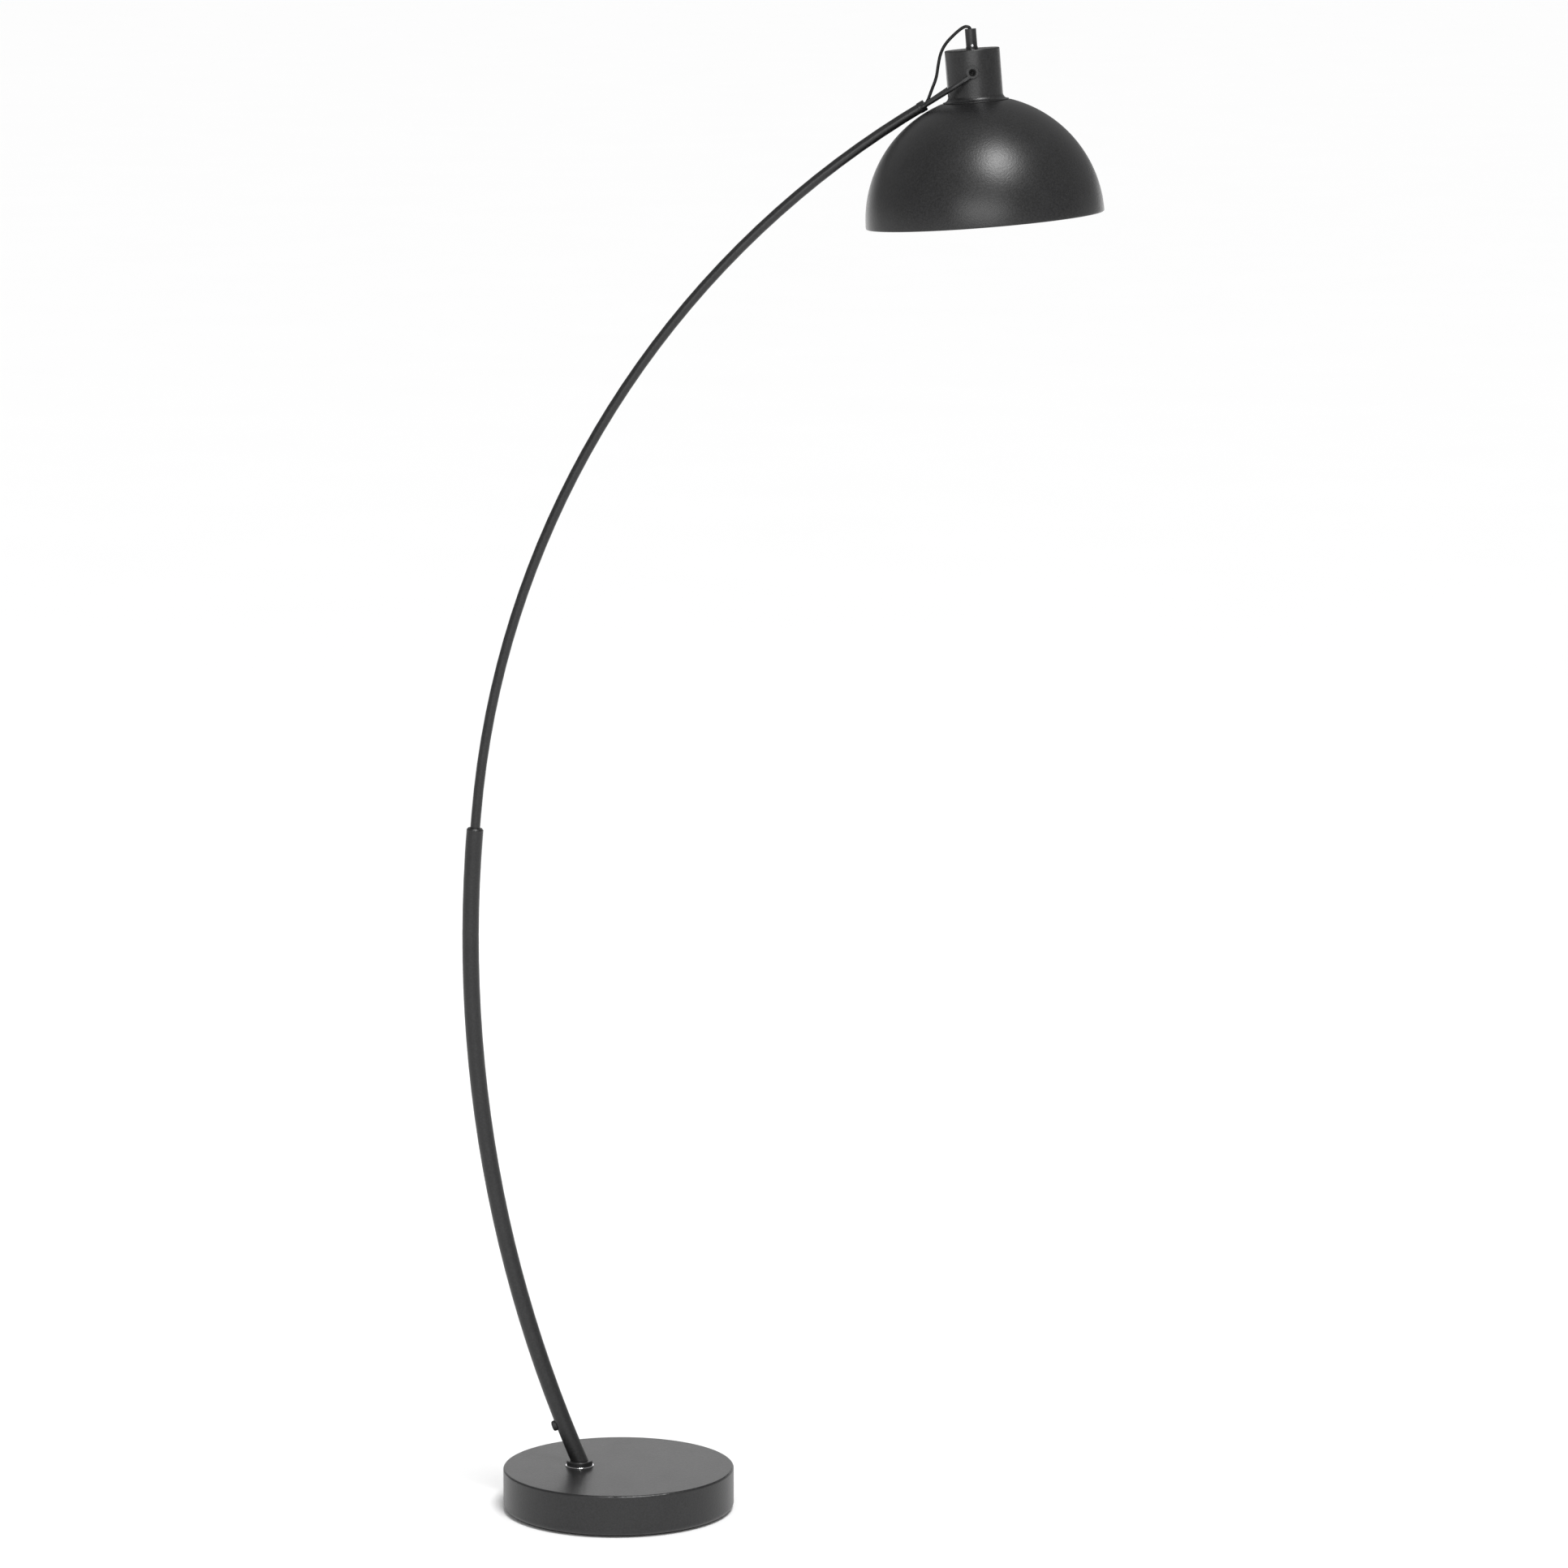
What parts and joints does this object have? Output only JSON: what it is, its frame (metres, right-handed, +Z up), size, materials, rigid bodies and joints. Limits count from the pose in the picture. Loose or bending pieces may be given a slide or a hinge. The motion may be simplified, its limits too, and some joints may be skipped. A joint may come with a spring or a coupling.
{
  "type": "arc floor lamp",
  "caption": "Floor lamp with a round weighted base, a two-piece curved pole and a domed shade that tilts in a two-rod fork.",
  "frame": {"origin": "on the floor, under the middle of the round base", "axes": "+Z up, +X from the pole towards the shade in the plane of the arc, +Y to the rear"},
  "size_m": [0.6601, 0.243, 1.5501],
  "materials": {
    "black_powder_coat": "satin",
    "cast_iron": "matte",
    "zinc_steel": "satin",
    "black_steel": "satin",
    "chrome": "polished",
    "black_rubber": "matte",
    "foam_pad": "matte",
    "cord_sheath": "satin",
    "black_plastic": "satin",
    "white_ceramic": "satin",
    "brass": "satin",
    "nickel_cap": "satin",
    "opal_glass": "gloss"
  },
  "bodies": {
    "stand": {"base_pad": "foam_pad", "base_plate": "zinc_steel", "plate_screws": "zinc_steel", "base_ballast": "cast_iron", "base_shell": "black_powder_coat", "foot_bolt": "zinc_steel", "foot_bolt_washer": "zinc_steel", "foot_spacer": "zinc_steel", "foot_trim_washer": "chrome", "foot_socket": "black_powder_coat", "lower_tube": "black_powder_coat", "joint_bush": "black_powder_coat", "joint_screw": "black_steel", "upper_tube": "black_powder_coat", "cable_grommet": "black_rubber", "arm_lead": "cord_sheath", "tube_end_bush": "black_plastic", "head_fork": "black_powder_coat", "head_cord": "cord_sheath"},
    "head": {"neck_cup": "black_powder_coat", "shade_dome": "black_powder_coat", "cord_grip": "black_powder_coat", "grip_screw": "chrome", "holder_lead": "cord_sheath", "nipple": "zinc_steel", "nipple_nut": "zinc_steel", "holder_cap": "black_plastic", "holder_insert": "white_ceramic", "holder_body": "black_plastic", "terminal_block": "black_plastic", "shell_contact": "brass", "centre_contact": "brass", "bulb_tip": "brass", "bulb_cap": "nickel_cap", "bulb_glass": "opal_glass", "tilt_screw_front": "black_steel", "tilt_spacer_front": "black_plastic", "tilt_nut_front": "zinc_steel", "tilt_screw_rear": "black_steel", "tilt_spacer_rear": "black_plastic", "tilt_nut_rear": "zinc_steel"}
  },
  "joints": [
    {"name": "head_tilt", "type": "hinge", "parent": "stand", "child": "head", "pos_m": [0.3662, 0, 1.50391], "axis": [0, -1, 0], "range_deg": [0, 75], "deforming": ["head_cord"]}
  ]
}
